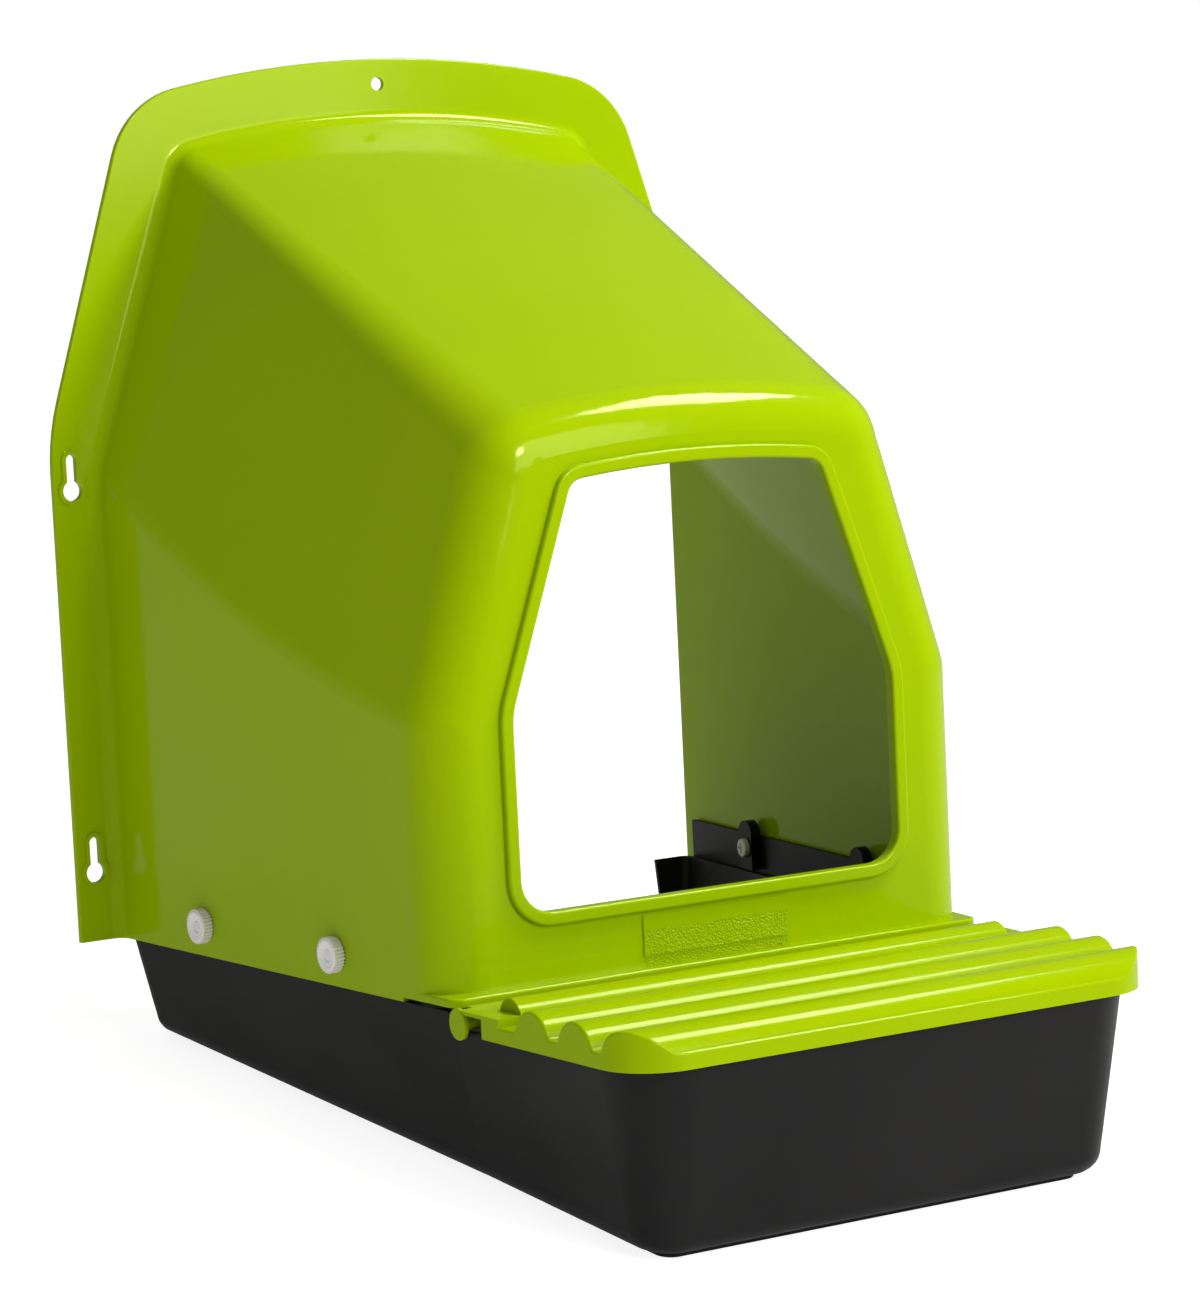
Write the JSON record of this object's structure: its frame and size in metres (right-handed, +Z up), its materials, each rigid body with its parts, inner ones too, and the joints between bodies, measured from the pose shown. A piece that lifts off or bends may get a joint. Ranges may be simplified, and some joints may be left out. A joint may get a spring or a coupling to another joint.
{
  "type": "wall-hung roll-away nest box",
  "caption": "Nest box for a laying hen: moulded hood with wall flange on a deep tray, a hinged ribbed cover over the egg compartment, and a loose sloping nest pan",
  "frame": {"origin": "middle of the tray's foot, on the ground", "axes": "+X to the right of someone looking in through the doorway, -Y out through the doorway, +Z up"},
  "size_m": [0.391, 0.4983, 0.4862],
  "materials": {
    "hood": "glossy lime green, moulded right through",
    "cover": "glossy lime green, moulded right through",
    "tray": "satin black with a fine grain",
    "pan": "satin black with a fine grain",
    "nut": "off-white nylon",
    "screw": "off-white nylon"
  },
  "bodies": {
    "housing": {"hood": "hood", "tray": "tray", "nest_pan": "pan", "screw_left_rear": "screw", "screw_left_front": "screw", "screw_right_rear": "screw", "screw_right_front": "screw"},
    "cover": {"egg_cover": "cover"},
    "nut_left_rear": {"hand_nut_left_rear": "nut"},
    "nut_left_front": {"hand_nut_left_front": "nut"},
    "nut_right_rear": {"hand_nut_right_rear": "nut"},
    "nut_right_front": {"hand_nut_right_front": "nut"}
  },
  "joints": [
    {"name": "egg_cover_hinge", "type": "hinge", "parent": "housing", "child": "cover", "pos_m": [0, -0.07663, 0.07971], "axis": [-1, 0, 0], "range_deg": [0, 85]},
    {"name": "nut_left_rear_turn", "type": "hinge", "parent": "housing", "child": "nut_left_rear", "pos_m": [-0.16493, 0.14968, 0.07357], "axis": [-0.9962, -0.0866, 0.0097], "continuous": true},
    {"name": "nut_left_front_turn", "type": "hinge", "parent": "housing", "child": "nut_left_front", "pos_m": [-0.1544, 0.03013, 0.08692], "axis": [-0.9962, -0.0866, 0.0097], "continuous": true},
    {"name": "nut_right_rear_turn", "type": "hinge", "parent": "housing", "child": "nut_right_rear", "pos_m": [0.16493, 0.14968, 0.07357], "axis": [0.9962, -0.0866, 0.0097], "continuous": true},
    {"name": "nut_right_front_turn", "type": "hinge", "parent": "housing", "child": "nut_right_front", "pos_m": [0.1544, 0.03013, 0.08692], "axis": [0.9962, -0.0866, 0.0097], "continuous": true}
  ]
}
